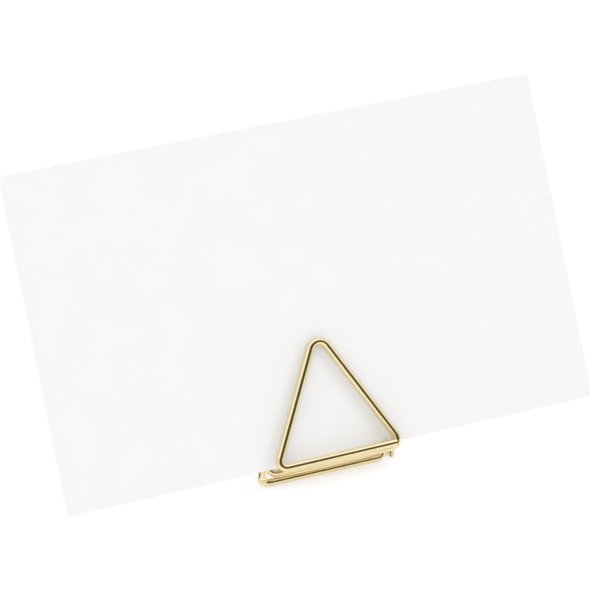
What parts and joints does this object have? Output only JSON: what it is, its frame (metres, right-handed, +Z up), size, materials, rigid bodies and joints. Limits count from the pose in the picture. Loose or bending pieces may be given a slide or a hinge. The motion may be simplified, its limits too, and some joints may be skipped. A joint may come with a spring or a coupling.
{
  "type": "place card holder",
  "caption": "Place card holder bent from one round gold-coloured wire: two leaning triangular loops grip a card, and a third lies flat as the foot.",
  "frame": {"origin": "centre of the footprint of the holder with its card, on the table", "axes": "+X along the card, to the right of a person who faces its front; +Y away from that person, the way the card leans; +Z up"},
  "size_m": [0.0888, 0.0252, 0.0489],
  "materials": {
    "wire": "polished",
    "card": "matte"
  },
  "bodies": {
    "stand": {"rear_loop": "wire", "foot_loop": "wire"},
    "jaw": {"front_loop": "wire"},
    "card": {"place_card": "card"}
  },
  "joints": [
    {"name": "jaw_flex", "type": "hinge", "parent": "stand", "child": "jaw", "pos_m": [-0.00061, -0.00981, 0.00247], "axis": [0.992, -0.1132, 0.0552], "range_deg": [0, 8], "stiffness_Nm_per_rad": 0.03, "springref_deg": -0.57},
    {"name": "card_lift", "type": "slide", "parent": "stand", "child": "card", "axis": [0, 0.4384, 0.8988], "range_m": [0, 0.025]}
  ]
}
